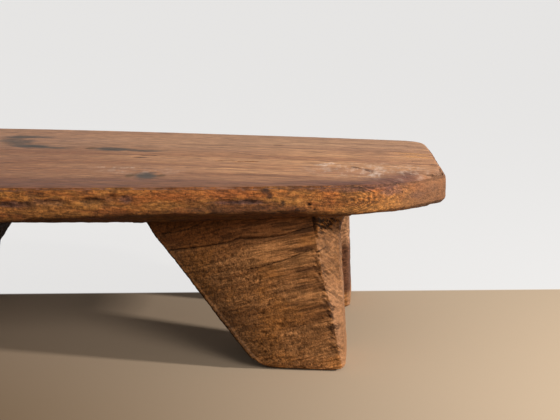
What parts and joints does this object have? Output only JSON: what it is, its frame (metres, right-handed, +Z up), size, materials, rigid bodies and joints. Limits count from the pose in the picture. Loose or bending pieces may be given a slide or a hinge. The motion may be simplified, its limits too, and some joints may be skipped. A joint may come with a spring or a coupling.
{
  "type": "low table",
  "caption": "Low free-standing table: a thick hewn board that narrows to one end, on broad wedge-shaped legs let into its underside and held by hidden pegs.",
  "frame": {"origin": "on the floor, under the middle of the board's outline", "axes": "+X along the board towards its narrow end, +Y from the front towards the back, +Z up"},
  "size_m": [0.7622, 0.4095, 0.201],
  "materials": {
    "top_wood": "worn, waxed and rubbed",
    "leg_wood": "rough hewn, dry",
    "peg_wood": "riven, unfinished"
  },
  "bodies": {
    "root": {"tabletop_board": "top_wood", "leg_front_left": "leg_wood", "leg_front_right": "leg_wood", "leg_rear_left": "leg_wood", "leg_rear_right": "leg_wood", "peg_front_left_inner": "peg_wood", "peg_front_left_outer": "peg_wood", "peg_front_right_inner": "peg_wood", "peg_front_right_outer": "peg_wood", "peg_rear_left_inner": "peg_wood", "peg_rear_left_outer": "peg_wood", "peg_rear_right_inner": "peg_wood", "peg_rear_right_outer": "peg_wood"}
  },
  "joints": []
}
